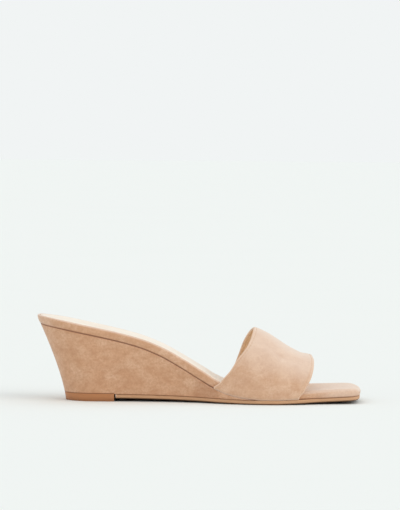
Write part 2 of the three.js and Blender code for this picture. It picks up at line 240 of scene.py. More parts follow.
def colour(code):
    """sRGB hex to linear RGBA."""
    parts = [int(code[i:i + 2], 16) / 255 for i in (1, 3, 5)]
    return tuple(c / 12.92 if c <= 0.04045 else ((c + 0.055) / 1.055) ** 2.4 for c in parts) + (1.0,)


def add(tree, kind, inputs=None, **settings):
    """Adds a node. Each input is linked where a socket is given for it, and set where a value is."""
    node = tree.nodes.new(kind)
    for key, value in settings.items():
        setattr(node, key, value)
    for key, value in (inputs or {}).items():
        if isinstance(value, bpy.types.NodeSocket):
            tree.links.new(value, node.inputs[key])
        else:
            node.inputs[key].default_value = value
    return node


def blank_material(name):
    """A material and its empty node tree."""
    material = bpy.data.materials.new(name)
    material.use_nodes = True
    material.node_tree.nodes.clear()
    return material, material.node_tree


def end_material(tree, relief, strength, distance, inputs):
    """Closes a material with its relief, as a bump over so many metres, under the surface that has these inputs."""
    bump = add(tree, "ShaderNodeBump", {"Height": relief, "Strength": strength, "Distance": distance})
    shader = add(tree, "ShaderNodeBsdfPrincipled", {**inputs, "Normal": bump.outputs["Normal"]})
    add(tree, "ShaderNodeOutputMaterial", {"Surface": shader.outputs[0]})


def buffed_suede(name, base, pale, deep, edge_attribute, edge_colour, edge_span, upright_painted_sheen):
    """Split leather, buffed to a short nap. It is quite matt, and it has cloudy patches where the nap lies another
    way. A painted sheen makes it pale where it is seen at a flat angle and where it faces up. upright_painted_sheen
    is how much of that painted sheen is left on an upright face. Within edge_span of an edge or a seam it takes
    edge_colour: painted shade along a seam where that colour is darker, and a painted highlight along a folded edge
    where it is paler."""
    material, tree = blank_material(name)
    place = add(tree, "ShaderNodeTexCoord").outputs["Object"]
    turned = add(tree, "ShaderNodeMapping", {"Vector": place, "Rotation": (0.3, 0.45, 0.2), "Scale": (1, 1.5, 1.6)})
    turned = turned.outputs["Vector"]
    # Patches 16 mm across, strokes of the hand 7 mm across, and tufts of nap 1.5 mm across. The real tufts are under
    # 0.5 mm and are drawn coarser so that they show.
    patches = add(tree, "ShaderNodeTexNoise", {"Vector": turned, "Scale": 1 / 0.016, "Detail": 3.0, "Roughness": 0.5})
    strokes = add(tree, "ShaderNodeTexNoise", {"Vector": turned, "Scale": 1 / 0.007, "Detail": 3.0, "Roughness": 0.6,
                                               "Distortion": 0.2})
    tufts = add(tree, "ShaderNodeTexNoise", {"Vector": place, "Scale": 1 / 0.0015, "Detail": 3.0, "Roughness": 0.7})
    fibres = add(tree, "ShaderNodeTexNoise", {"Vector": turned, "Scale": 1 / 0.0004, "Detail": 2.0, "Roughness": 0.6})
    paler = add(tree, "ShaderNodeMapRange", {"Value": patches.outputs[0], "From Min": 0.42, "From Max": 0.7})
    deeper = add(tree, "ShaderNodeMapRange", {"Value": strokes.outputs[0], "From Min": 0.42, "From Max": 0.74,
                                              "To Max": 0.8})
    speck = add(tree, "ShaderNodeMapRange", {"Value": tufts.outputs[0], "From Min": 0.42, "From Max": 0.64,
                                             "To Max": 0.6})
    # Painted shade in a crease, and a painted highlight on the ridge beside it
    crease = add(tree, "ShaderNodeAttribute", attribute_name="crease").outputs["Fac"]
    crease_shade = add(tree, "ShaderNodeMapRange", {"Value": crease, "From Max": 0.4, "To Max": 0.45})
    ridge_highlight = add(tree, "ShaderNodeMapRange", {"Value": crease, "From Max": -0.35, "To Max": 0.5})
    # Painted sheen: what faces up is painted paler, and most where it is seen at a flat angle. Round the toe the
    # sides get a painted highlight too.
    facing = add(tree, "ShaderNodeLayerWeight", {"Blend": 0.5}).outputs["Facing"]
    flat = add(tree, "ShaderNodeMapRange", {"Value": facing, "From Min": 0.1, "From Max": 0.92, "To Max": 0.92})
    normal = add(tree, "ShaderNodeNewGeometry").outputs["Normal"]
    height = add(tree, "ShaderNodeSeparateXYZ", {0: normal}).outputs["Z"]
    upward = add(tree, "ShaderNodeMapRange", {"Value": height, "From Min": 0.0, "From Max": 0.45,
                                              "To Min": upright_painted_sheen})
    grazing_sheen = add(tree, "ShaderNodeMath", {0: flat.outputs[0], 1: upward.outputs[0]}, operation="MULTIPLY")
    upward_sheen = add(tree, "ShaderNodeMapRange", {"Value": height, "From Min": 0.25, "From Max": 0.75, "To Max": 0.5})
    painted_sheen = add(tree, "ShaderNodeMath", {0: grazing_sheen.outputs[0], 1: upward_sheen.outputs[0]}, operation="MAXIMUM")
    along = add(tree, "ShaderNodeSeparateXYZ", {0: place}).outputs["X"]
    toe_highlight = add(tree, "ShaderNodeMapRange", {"Value": along, "From Min": 0.08, "From Max": 0.1, "To Max": 0.36})
    painted_sheen = add(tree, "ShaderNodeMath", {0: painted_sheen.outputs[0], 1: toe_highlight.outputs[0]}, operation="MAXIMUM")
    # Painted shade along a seam where edge_colour is darker, and a painted highlight along a folded edge where it is
    # paler
    edge = add(tree, "ShaderNodeAttribute", attribute_name=edge_attribute)
    painted_edge_shading = add(tree, "ShaderNodeMapRange", {"Value": edge.outputs["Fac"], "From Min": edge_span, "From Max": 0.0,
                                                 "To Max": 0.8}, interpolation_type="SMOOTHSTEP")
    # Each tone goes over those before it
    tinted = colour(base)
    for share, tint in ((paler, pale), (deeper, deep), (speck, deep), (crease_shade, deep), (ridge_highlight, pale), (painted_sheen, "#f1e1d3"),
                        (painted_edge_shading, edge_colour)):
        layer = add(tree, "ShaderNodeMix", {0: share.outputs[0], 6: tinted, 7: colour(tint)}, data_type="RGBA")
        tinted = layer.outputs[2]
    lay = add(tree, "ShaderNodeMath", {0: tufts.outputs[0], 1: 0.6}, operation="MULTIPLY")
    nap = add(tree, "ShaderNodeMath", {0: fibres.outputs[0], 1: 0.4, 2: lay.outputs[0]}, operation="MULTIPLY_ADD")
    relief = add(tree, "ShaderNodeMath", {0: strokes.outputs[0], 1: 0.8, 2: nap.outputs[0]}, operation="MULTIPLY_ADD")
    end_material(tree, relief.outputs[0], 0.55, 0.0005, {
        "Base Color": tinted, "Roughness": 0.95, "Specular IOR Level": 0.15, "Sheen Weight": 0.3,
        "Sheen Roughness": 0.4, "Sheen Tint": colour("#fff4ea")})
    return material


# The rim from its underside round to its top, as (step, inset) and (step, share of the height). At the toe toe_roll
# is added to the inset.
rim_inset = through((0, 1.0), (0.1, 0.55), (0.3, 0.16), (0.55, 0.0), (0.72, 0.16), (0.86, 0.7), (1, 1.9))
rim_rise = through((0, 0.0), (0.1, 0.05), (0.3, 0.2), (0.55, 0.52), (0.72, 0.75), (0.86, 0.91), (1, 1.0))
toe_roll = through((0, 0.0), (0.45, 0.0), (0.6, 0.2), (0.72, 0.7), (0.86, 1.8), (1, 3.1))
toe_roll_start = (186.0, 198.0)
rim_steps = 12
# The groove round the sock, as (inset, share of the seat's depth)
seat_groove = ((2.15, 0.02), (2.27, 0.15), (2.36, 0.7), (2.4, 1.0), (4.0, 1.0))
# The board's underside is let up where the strap's margins lie under it
margin_room = 1.35
margin_room_start = (143.0, 148.0)
margin_room_end = (188.0, 191.5)


def board_floor(x, y):
    return board_underside(x) + margin_room * ramp(x, *margin_room_start) * (1 - ramp(x, *margin_room_end))


def seat_depth(x):
    return sock_seat * (1 - ramp(x, sock_front - 0.2, sock_front + 0.8))


footbed_stations = outline_stations()
footbed_outline = ring(footbed_stations, edge_point)
footbed_rings = []


def rim_ring(distance, more):
    """The outline moved inwards, and further in front of the strap, where the rim is rolled more softly."""
    near, far = inset(footbed_outline, distance), inset(footbed_outline, distance + more)
    return [[p.lerp(q, ramp(p.x, *toe_roll_start)) for p, q in zip(*sides)] for sides in zip(near, far)]


for step in range(rim_steps + 1):
    share = rim_rise(step / rim_steps)
    moved = rim_ring(rim_inset(step / rim_steps), toe_roll(step / rim_steps))
    for points in moved:
        for point in points:
            point.x += board_lean * (board_bulge - share) * max(0.0, 1 - point.x / rake_reach)
            point.z = lerp(board_floor(point.x, point.y), board_top(point.x, point.y), share)
    footbed_rings.append(moved)
for distance, depth in seat_groove:
    moved = rim_ring(distance, toe_roll(1))
    for points in moved:
        for point in points:
            point.x += board_lean * (board_bulge - 1) * max(0.0, 1 - point.x / rake_reach)
            point.z = board_top(point.x, point.y) - depth * seat_depth(point.x)
    footbed_rings.append(moved)
footbed = loft("wrapped_footbed", footbed_rings, 20, board_floor, lambda x, y: board_top(x, y) - seat_depth(x))
# The footbed's dark edge colour, within 1.1 mm of its underside, is painted shade in the seam over the wedge
write_attribute(footbed, "from_painted_shade", lambda x, y, z: max(0.0, z - board_underside(x)))
footbed.data.materials.append(buffed_suede("suede_wrap", "#d5aa89", "#e0bb9e", "#c39472", "from_painted_shade", "#935836", 1.1,
                                           0.4))
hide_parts("footbed")
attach(footbed, "root")


# Strap
# One broad band of suede with a smooth leather lining, 2 mm thick together. Its two long edges are folded in and
# stitched, and its ends are skived to 1.2 mm, pulled round the board and glued under it.
strap_thickness = 2.0
margin_thickness = 1.2
margin_width = 12.0
margin_bend = 0.7
strap_gap = 0.35
instep_height = 43.6
toe_height = 22.3
ridge_offset = 3.0
edge_fold = 0.9  # how far the folded edges stand out past the lines of the cut leather
fold_radius = 0.62  # of the wall's thickness
edge_curve = 0.87
stitch_inset = 2.1
channel_depth, channel_width = 0.13, 0.5  # the thread draws the leather in along the row
swell_height, swell_width, swell_inset = 0.12, 1.2, 3.6  # and it swells beside the row
crease_fade = (1.0, 7.0)  # the creases run out towards the folded edges
crease_foot = (5.0, 12.0)  # and towards the board, by height

crown_height = through((0.54, 1.463), (0.6, 1.243), (0.664, 1), (0.689, 0.895), (0.714, 0.752), (0.739, 0.57),
                       (0.764, 0.382), (0.789, 0.223), (0.814, 0.09), (0.834, 0.041), (0.852, 0), (0.9, -0.07))
crown_roundness = through((0.54, 2.15), (0.6, 2.15), (0.664, 2.2), (0.689, 2.2), (0.714, 2.25), (0.739, 2.3),
                          (0.764, 2.35), (0.789, 2.4), (0.814, 2.45), (0.834, 2.48), (0.852, 2.5), (0.9, 2.5))
# Where the edges cross the side at the bottom and the crown, and how they go from one to the other by height
rear_edge = {-1: (132.2, 160.7, through((0, 0), (0.1, 0.138), (0.2, 0.245), (0.35, 0.42), (0.5, 0.565), (0.75, 0.845),
                                        (0.93, 0.967), (1, 1))),
             1: (140.8, 160.7, through((0, 0), (0.1, 0.1), (0.2, 0.2), (0.35, 0.345), (0.5, 0.475), (0.75, 0.68),
                                       (0.93, 0.89), (1, 1)))}
front_share = through((0, 0), (0.1, 0.305), (0.2, 0.445), (0.35, 0.685), (0.5, 0.853), (0.75, 1.015), (0.93, 1.06),
                      (1, 1))
front_edge = {-1: (192.3, 203.0, front_share), 1: (196.0, 203.0, front_share)}


def lining_point(x, girth):
    """A point of the lining. Girth runs from -2 to -1 under the board on the outer side, from 0 to 1 over the foot,
    and from 2 to 3 under the board on the inner side."""
    side = -1 if girth < 0.5 else 1
    way = girth if girth < 0.5 else 1 - girth
    foot = board_underside(x) + margin_thickness + margin_bend
    outer, inner = (half_width(x, end) + strap_gap for end in (-1, 1))
    half = outer if side < 0 else inner
    if way < -1:
        return Vector((x, side * (half - margin_bend + (way + 1) * margin_width), foot - margin_bend))
    if way < 0:
        angle = -way * math.pi / 2
        return Vector((x, side * (half - margin_bend * (1 - math.cos(angle))), foot - margin_bend * math.sin(angle)))
    power = 2 / crown_roundness(x / shoe_length)
    tread = sole_thickness + gap + toe_board_thickness
    top = tread + toe_height + (instep_height - toe_height) * crown_height(x / shoe_length)
    angle = way * math.pi
    y = (inner - outer) / 2 + side * (outer + inner) / 2 * max(math.cos(angle), 0.0) ** power
    return Vector((x, y + ridge_offset * math.sin(angle) ** 2, foot + (top - foot) * math.sin(angle) ** power))


def strap_normal(x, girth):
    """The direction out of the leather, from points close by."""
    step = 0.004
    along = lining_point(x + 0.05, girth) - lining_point(x - 0.05, girth)
    round_it = lining_point(x, girth + step) - lining_point(x, girth - step)
    return along.cross(round_it).normalized()


def strap_edge(girth, edges):
    """Where a long edge of the strap lies along the shoe, before it is folded in."""
    side = -1 if girth < 0.5 else 1
    low, high, share = edges[side]
    return lerp(low, high, share(math.sin(min(max(girth, 0.0), 1.0) * math.pi) ** edge_curve))


# Creases of the outer side and the inner side, seen from the side: a line of (x, z), its half width, and how far the
# leather sinks there. A ridge has a depth below 0.
strap_creases = {
    -1: [(((170, 41), (175, 36), (180.5, 32)), 1.5, 0.36), (((180.5, 32), (187, 30), (193, 29.5)), 2.2, 0.2),
         (((180, 37.5), (187, 34), (195, 32.5)), 2.6, -0.3), (((169, 32), (170.5, 25), (172, 18)), 3.8, 0.3),
         (((179, 27), (181, 20), (181, 12)), 4.2, -0.24), (((192, 25), (192.5, 18), (191, 11)), 3.0, 0.24),
         (((157, 36), (160, 27), (162, 17)), 4.0, -0.22), (((146, 21), (153, 16), (160, 12)), 3.4, 0.26)],
    1: [(((166, 44), (173, 37), (181, 31)), 3.6, 0.36), (((176, 31), (185, 27), (195, 24)), 3.8, -0.28),
        (((158, 34), (163, 25), (168, 15)), 5.2, 0.3), (((184, 22), (187, 15), (187, 9)), 4.2, 0.24),
        (((150, 24), (156, 18), (161, 12)), 3.6, 0.22)]}


def crease_depth(point):
    """How far the leather sinks at a point, with the creases of its side added up."""
    depth = 0.0
    for line, width, sink in strap_creases[-1 if point.y < ridge_offset else 1]:
        nearest = 1e9
        for (x1, z1), (x2, z2) in zip(line, line[1:]):
            dx, dz = x2 - x1, z2 - z1
            t = min(max(((point.x - x1) * dx + (point.z - z1) * dz) / (dx * dx + dz * dz), 0.0), 1.0)
            nearest = min(nearest, math.hypot(point.x - x1 - t * dx, point.z - z1 - t * dz))
        depth += sink * math.exp(-(nearest / width) ** 2)
    return depth


def strap_surface(x, girth, from_edge, face):
    """A point of the outside (face 1) or the lining (face -1), from_edge millimetres in from the nearer long edge."""
    tucked = min(max(-girth, girth - 1, 0.0), 1.0)
    wall = lerp(strap_thickness, margin_thickness, tucked)
    roll = min(from_edge / (fold_radius * wall), 1.0)
    half = wall / 2 * math.sqrt(max(1 - (1 - roll) ** 2, 0.0))
    base = lining_point(x, girth)
    on_arch = 1 - min(tucked * 3, 1.0)
    channel = channel_depth * math.exp(-((from_edge - stitch_inset) / channel_width) ** 2)
    swell = swell_height * math.exp(-((from_edge - swell_inset) / swell_width) ** 2)
    sink = crease_depth(base) * ramp(from_edge, *crease_fade) * on_arch * ramp(base.z, *crease_foot)
    relief = (channel - swell) * on_arch if from_edge > 0 else 0.0  # at the fold both faces share their points
    depth = wall / 2 + face * (half - relief) - sink
    return base + strap_normal(x, girth) * depth


near_edge_steps = [0, 0.08, 0.25, 0.5, 0.8, 1.1, 1.4, 1.7, 1.95, 2.2, 2.45, 2.75, 3.1, 3.6, 4.3, 5.2]
middle_steps = 40
girths = ([-2, -1.75, -1.5, -1.25] + [-1 + i / 6 for i in range(6)] + [i / 150 for i in range(151)]
          + [1 + i / 6 for i in range(1, 7)] + [2.25, 2.5, 2.75, 3])
strap_points, strap_from_edge, strap_faces, strap_slots = [], [], [], []
strap_grid = {1: [], -1: []}
for girth in girths:
    rear = strap_edge(girth, rear_edge) - edge_fold
    front = strap_edge(girth, front_edge) + edge_fold
    inner_rear, inner_front = rear + near_edge_steps[-1], front - near_edge_steps[-1]
    columns = ([(rear + d, d) for d in near_edge_steps]
               + [(lerp(inner_rear, inner_front, i / middle_steps), None) for i in range(1, middle_steps)]
               + [(front - d, d) for d in reversed(near_edge_steps)])
    for face in (1, -1):
        row = []
        for x, d in columns:
            from_edge = min(x - rear, front - x) if d is None else d
            row.append(len(strap_points))
            strap_points.append(strap_surface(x, girth, from_edge, face))
            strap_from_edge.append(from_edge)
        strap_grid[face].append(row)
last_column = len(strap_grid[1][0]) - 1
turned_in = 4  # columns of suede that show on the lining side, where the edge is folded in
for i in range(len(girths) - 1):
    for j in range(last_column):
        outside, lining = strap_grid[1], strap_grid[-1]
        strap_faces.append((outside[i][j], outside[i][j + 1], outside[i + 1][j + 1], outside[i + 1][j]))
        strap_faces.append((lining[i][j], lining[i + 1][j], lining[i + 1][j + 1], lining[i][j + 1]))
        strap_slots += [0, 0 if j < turned_in or j >= last_column - turned_in else 1]
for i, flip in ((0, False), (len(girths) - 1, True)):
    for j in range(last_column):
        corners = [strap_grid[1][i][j], strap_grid[-1][i][j], strap_grid[-1][i][j + 1], strap_grid[1][i][j + 1]]
        strap_faces.append(corners[::-1] if flip else corners)
        strap_slots.append(0)
strap = mesh_piece("suede_strap", strap_points, strap_faces, strap_slots)


def lining_leather(name, base, deep, pore):
    """Vegetable tanned pigskin, split thin and ironed. It is smooth with a low sheen, and pitted with hair holes."""
    material, tree = blank_material(name)
    place = add(tree, "ShaderNodeTexCoord").outputs["Object"]
    clouds = add(tree, "ShaderNodeTexNoise", {"Vector": place, "Scale": 1 / 0.012, "Detail": 3.0})
    pits = add(tree, "ShaderNodeTexVoronoi", {"Vector": place, "Scale": 1 / pore, "Randomness": 0.9})
    grain = add(tree, "ShaderNodeTexNoise", {"Vector": place, "Scale": 1 / (pore * 0.4), "Detail": 3.0})
    amount = add(tree, "ShaderNodeMapRange", {"Value": clouds.outputs[0], "From Min": 0.35, "From Max": 0.7})
    body = add(tree, "ShaderNodeMix", {0: amount.outputs[0], 6: colour(base), 7: colour(deep)}, data_type="RGBA")
    pit = add(tree, "ShaderNodeMapRange", {"Value": pits.outputs["Distance"], "From Max": 0.3})
    relief = add(tree, "ShaderNodeMath", {0: grain.outputs[0], 1: 0.3, 2: pit.outputs[0]}, operation="MULTIPLY_ADD")
    end_material(tree, relief.outputs[0], 0.25, 0.00012, {"Base Color": body.outputs[2], "Roughness": 0.55,
                                                          "Specular IOR Level": 0.4})
    return material


nearby = KDTree(len(strap_points))
for i, point in enumerate(strap_points):
    nearby.insert(point, i)
nearby.balance()
write_attribute(strap, "from_edge", lambda x, y, z: strap_from_edge[nearby.find((x, y, z))[1]])
write_attribute(strap, "crease", lambda x, y, z: (crease_depth(Vector((x, y, z - strap_thickness)))
                                                  * ramp(z, *crease_foot)))
# The strap's pale edge colour is a painted highlight along its folded edges
strap.data.materials.append(buffed_suede("suede_strap", "#dab496", "#e2c0a5", "#cba082", "from_edge", "#e9cbb2", 1.7,
                                         0.8))
strap.data.materials.append(lining_leather("pigskin_lining", "#f2d2ad", "#e4bf96", 0.0011))
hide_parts("upper")
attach(strap, "root")


# Strap stitches
# Bonded nylon thread 0.35 mm thick in the suede's own colour. It runs 2 mm inside both folded edges, and it shows on
# the suede and on the lining, with 2.6 mm from hole to hole.
stitch_spacing = 2.6
stitch_steps = 240
stitch_start, stitch_run = -0.1, 1.2  # the row's start and its length, as girths


def stitch_line(face, at_front):
    """Points on the strap's surface along one edge, each with the direction that is out of the leather there."""
    points, ups = [], []
    for i in range(stitch_steps + 1):
        girth = stitch_start + stitch_run * i / stitch_steps
        edges = front_edge if at_front else rear_edge
        x = strap_edge(girth, edges) + (edge_fold - stitch_inset if at_front else stitch_inset - edge_fold)
        points.append(strap_surface(x, girth, stitch_inset, face))
        ups.append(strap_normal(x, girth) * face)
    return points, ups


def stitch_tree(thread):
    """Sets a bowed thread on a path at even spacing, lying along it and facing out of the leather."""
    tree = bpy.data.node_groups.new("stitches_on_path", "GeometryNodeTree")
    tree.interface.new_socket("Geometry", in_out="INPUT", socket_type="NodeSocketGeometry")
    for label, size in (("Spacing", stitch_spacing / 1000), ("Stitch Length", 0.0021), ("Thread Radius", 0.00018),
                        ("Bow Height", 0.00028), ("Hole Depth", 0.00022)):
        socket = tree.interface.new_socket(label, in_out="INPUT", socket_type="NodeSocketFloat")
        socket.default_value = size
    tree.interface.new_socket("Geometry", in_out="OUTPUT", socket_type="NodeSocketGeometry")
    given = add(tree, "NodeGroupInput").outputs
    half = add(tree, "ShaderNodeMath", {0: given["Stitch Length"], 1: 0.5}, operation="MULTIPLY").outputs[0]
    back = add(tree, "ShaderNodeMath", {0: half, 1: -1.0}, operation="MULTIPLY").outputs[0]
    down = add(tree, "ShaderNodeMath", {0: given["Hole Depth"], 1: -1.0}, operation="MULTIPLY").outputs[0]
    start = add(tree, "ShaderNodeCombineXYZ", {"X": back, "Z": down}).outputs[0]
    middle = add(tree, "ShaderNodeCombineXYZ", {"Z": given["Bow Height"]}).outputs[0]
    end = add(tree, "ShaderNodeCombineXYZ", {"X": half, "Z": down}).outputs[0]
    bow = add(tree, "GeometryNodeCurveQuadraticBezier", {"Resolution": 6, "Start": start, "Middle": middle,
                                                         "End": end})
    section = add(tree, "GeometryNodeCurvePrimitiveCircle", {"Resolution": 6, "Radius": given["Thread Radius"]},
                  mode="RADIUS")
    stitch = add(tree, "GeometryNodeCurveToMesh", {"Curve": bow.outputs[0], "Profile Curve": section.outputs[0],
                                                   "Fill Caps": True})
    path = add(tree, "GeometryNodeMeshToCurve", {"Mesh": given["Geometry"]})
    spaced = add(tree, "GeometryNodeResampleCurve", {"Curve": path.outputs[0], "Length": given["Spacing"]},
                 mode="LENGTH")
    up = add(tree, "GeometryNodeInputNamedAttribute", {"Name": "out_of_leather"}, data_type="FLOAT_VECTOR")
    tangent = add(tree, "GeometryNodeInputTangent")
    turn = add(tree, "FunctionNodeAxesToRotation", {"Primary Axis": up.outputs[0],
                                                    "Secondary Axis": tangent.outputs[0]},
               primary_axis="Z", secondary_axis="X")
    placed = add(tree, "GeometryNodeInstanceOnPoints", {"Points": spaced.outputs[0], "Instance": stitch.outputs[0],
                                                        "Rotation": turn.outputs[0]})
    real = add(tree, "GeometryNodeRealizeInstances", {"Geometry": placed.outputs[0]})
    smooth = add(tree, "GeometryNodeSetShadeSmooth", {0: real.outputs[0]})
    dressed = add(tree, "GeometryNodeSetMaterial", {"Geometry": smooth.outputs[0], "Material": thread})
    add(tree, "NodeGroupOutput", {0: dressed.outputs[0]})
    return tree


def spun_thread(name, base):
    """Bonded nylon, three plies twisted together. It has a faint gloss and a fine diagonal twist."""
    material, tree = blank_material(name)
    place = add(tree, "ShaderNodeTexCoord").outputs["Object"]
    twist = add(tree, "ShaderNodeTexWave", {"Vector": place, "Scale": 0.5 / 0.0003, "Distortion": 0.4},
                bands_direction="DIAGONAL")
    end_material(tree, twist.outputs["Fac"], 0.4, 0.00005, {"Base Color": colour(base), "Roughness": 0.5,
                                                            "Specular IOR Level": 0.4})
    return material


path_points, path_ups, path_edges = [], [], []
for face in (1, -1):
    for at_front in (False, True):
        points, ups = stitch_line(face, at_front)
        path_edges += [(len(path_points) + i, len(path_points) + i + 1) for i in range(len(points) - 1)]
        path_points += points
        path_ups += ups
path_mesh = bpy.data.meshes.new("stitch_paths")
path_mesh.from_pydata([in_frame(point) for point in path_points], path_edges, [])
out_of_leather = path_mesh.attributes.new("out_of_leather", "FLOAT_VECTOR", "POINT")
out_of_leather.data.foreach_set("vector", [c for up in path_ups for c in up])
stitch_paths = bpy.data.objects.new("stitch_paths", path_mesh)
bpy.context.collection.objects.link(stitch_paths)
stitching = stitch_paths.modifiers.new("stitches", "NODES")
thread = spun_thread("nylon_thread", "#dcb898")
stitching.node_group = stitch_tree(thread)
evaluated = stitch_paths.evaluated_get(bpy.context.evaluated_depsgraph_get())
stitch_mesh = bpy.data.meshes.new_from_object(evaluated)
stitch_mesh.name = "strap_stitches"
bpy.data.objects.remove(stitch_paths)
stitches = bpy.data.objects.new("strap_stitches", stitch_mesh)
bpy.context.collection.objects.link(stitches)
if not stitch_mesh.materials:
    stitch_mesh.materials.append(thread)
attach(stitches, "root")


# Sock
# A sheet of cream leather 1 mm thick, glued into the top of the board. It ends under the strap, as a three-quarter
# sock does, so the suede of the board shows in front.
sock_thickness = 1.0
sock_sink = 0.9
sock_inset = 2.4


def finished_leather(name, base, deep):
    """Drum-dyed calf leather with a light finish. Its grain is fine and pebbled, and it has a soft sheen."""
    material, tree = blank_material(name)
    place = add(tree, "ShaderNodeTexCoord").outputs["Object"]
    clouds = add(tree, "ShaderNodeTexNoise", {"Vector": place, "Scale": 1 / 0.02, "Detail": 3.0})
    pebbles = add(tree, "ShaderNodeTexVoronoi", {"Vector": place, "Scale": 1 / 0.0009}, feature="SMOOTH_F1")
    wrinkles = add(tree, "ShaderNodeTexNoise", {"Vector": place, "Scale": 1 / 0.003, "Detail": 4.0,
                                                "Distortion": 0.8})
    amount = add(tree, "ShaderNodeMapRange", {"Value": clouds.outputs[0], "From Min": 0.4, "From Max": 0.75,
                                              "To Max": 0.8})
    body = add(tree, "ShaderNodeMix", {0: amount.outputs[0], 6: colour(base), 7: colour(deep)}, data_type="RGBA")
    relief = add(tree, "ShaderNodeMath", {0: wrinkles.outputs[0], 1: 0.5, 2: pebbles.outputs["Distance"]},
                 operation="MULTIPLY_ADD")
    shine = add(tree, "ShaderNodeMapRange", {"Value": wrinkles.outputs[0], "To Min": 0.42, "To Max": 0.6})
    end_material(tree, relief.outputs[0], 0.3, 0.00012, {
        "Base Color": body.outputs[2], "Roughness": shine.outputs[0], "Specular IOR Level": 0.45})
    return material


sock_stations = [station for station in footbed_stations if station[0] < sock_front - 1] + [(sock_front, 1.0, 0.0)]
sock_count = len(sock_stations)
sock_outline = ring(sock_stations + [s for s in footbed_stations if s[0] > sock_front + 1], edge_point)


def sock_surface(lift):
    return lambda x, y: board_top(x, y) - sock_sink + lift


sock_rings = []
for more, lift in ((0.1, 0.0), (0.02, 0.15), (0.0, 0.5), (0.05, 0.75), (0.2, 0.93), (0.5, sock_thickness)):
    moved = inset(sock_outline, sock_inset + more)
    sides = [points[:sock_count] for points in moved]
    for points in sides:
        for point in points:
            point.z = sock_surface(lift)(point.x, point.y)
    sock_rings.append(sides)
sock = loft("leather_sock", sock_rings, 26, sock_surface(0.0), sock_surface(sock_thickness))
sock.data.materials.append(finished_leather("calf_sock", "#fbf3e6", "#f6e9d7"))
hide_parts("sock")
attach(sock, "root")


# Wedge
# A light moulded block covered in suede, which is stretched over it and glued. Its back leans in towards the floor,
# its sides taper, and it runs out to a thin tip under the strap.
lift_thickness = 5.5
lift_length = 36.3
sole_gap = 1.3
arch_rise = 2.0
tread_start = 157.0
wedge_tip = 161.0  # drawn out thin past the solid's tip, so that no hole shows over the outsole
back_rake = 19.4
back_curve = 1.35
arch_curve = 1.3
side_draft = 0.17
seam_inset = 0.4
wedge_turn = 0.5  # radius of the suede where it turns over the block's edges
wedge_levels_between = 30
flare_rear = (-14.0, 4.0)  # where the wedge widens to the strap, from the strap's rear corner
flare_front = 8.0
flare_short = 0.2  # how far the widened side stays inside the strap's outside
seam_lean = board_lean * board_bulge + seam_inset
lift_front = seam_lean + back_rake + lift_length


def sole_underside(x):
    arch = min(max((tread_start - x) / (tread_start - lift_front), 0.0), 1.0)
    return arch_rise * math.sin(arch * math.pi / 2) ** arch_curve + spring(x)


def flank_point(station, side, z):
    """The outside of the wedge at a height. Under the strap it widens to meet the strap's outside."""
    x, share, drop = station
    depth = max(board_underside(x) - gap - z, 0.0)
    lean = 1 - min(max(z / heel_height, 0.0), 1.0) ** back_curve
    half = half_width(x, side)
    (rear, _, _), (front, front_crown, _) = rear_edge[-1], front_edge[-1]
    flare = ramp(x, rear + flare_rear[0], rear + flare_rear[1]) * (1 - ramp(x, front, front_crown + flare_front))
    width = half - seam_inset - side_draft * depth + flare * (strap_gap + strap_thickness - flare_short)
    y = edge_point(station, side).y * width / half
    return Vector((x + (seam_lean + back_rake * lean) * max(0.0, 1 - x / rake_reach), y, z))


def flank_at(station, side, height):
    """The outside of the wedge at a height that changes along the shoe."""
    first = flank_point(station, side, height(station[0]))
    point = flank_point(station, side, height(first.x))
    point.z = height(point.x)
    return point


def wedge_bottom(x, y=0.0):
    over_lift = lift_thickness + gap
    return lerp(over_lift, sole_underside(x) + sole_thickness + gap, ramp(x, lift_front + 0.1, lift_front + 0.5))


def wedge_top(x, y=0.0):
    return board_underside(x) - glue_line


def wedge_level(rounding, share):
    """A height of the wedge: share of the way up, after a rounding of so many millimetres at each end."""
    def height(x):
        low, high = wedge_bottom(x), wedge_top(x)
        turn = min(rounding, (high - low) / 2)
        return lerp(low + turn, high - turn, share)
    return height


wedge_stations = [s for s in outline_stations(sides=150) if s[0] < wedge_tip - 0.5] + [(wedge_tip, 1.0, 0.0)]
turns = [(1 - math.cos(a * math.pi / 8), 1 - math.sin(a * math.pi / 8)) for a in range(4)]
wedge_levels = [(wedge_turn * up, wedge_turn * into, 0.0) for up, into in turns]
wedge_levels += [(wedge_turn, 0.0, i / wedge_levels_between) for i in range(wedge_levels_between + 1)]
wedge_levels += [(wedge_turn * up, wedge_turn * into, 1.0) for up, into in reversed(turns)]
wedge_rings = []
for rounding, into, share in wedge_levels:
    height = wedge_level(rounding, share)
    wedge_rings.append(inset(ring(wedge_stations, lambda station, side: flank_at(station, side, height)), into))
wedge = loft("covered_wedge", wedge_rings, 14, wedge_bottom, wedge_top)


hidden_seam = (128.0, 134.0)  # where the strap comes over the upper seam
front_shade_start, front_shade_end = (92.0, 122.0), (132.0, 146.0)  # painted shade over the wedge's narrow front, a little darker all over


def from_wedge_shade(x, y, z):
    """How far a point is from the nearest seam, for the painted shade there. The narrow front counts as near a seam,
    so painted shade darkens it all over.
    """
    from_top = max(0.0, wedge_top(x) - z) + 3 * ramp(x, *hidden_seam)
    front_shade = ramp(x, *front_shade_start) * (1 - ramp(x, *front_shade_end))
    return min(from_top, max(0.0, z - wedge_bottom(x)), 2 - 1.5 * front_shade)


write_attribute(wedge, "from_painted_shade", from_wedge_shade)
# The wedge's dark edge colour is painted shade along its seams and over its narrow front
wedge.data.materials.append(buffed_suede("suede_cover", "#d5a988", "#e0ba9c", "#c29270", "from_painted_shade", "#935836", 0.8,
                                         0.1))
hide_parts("wedge")
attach(wedge, "root")


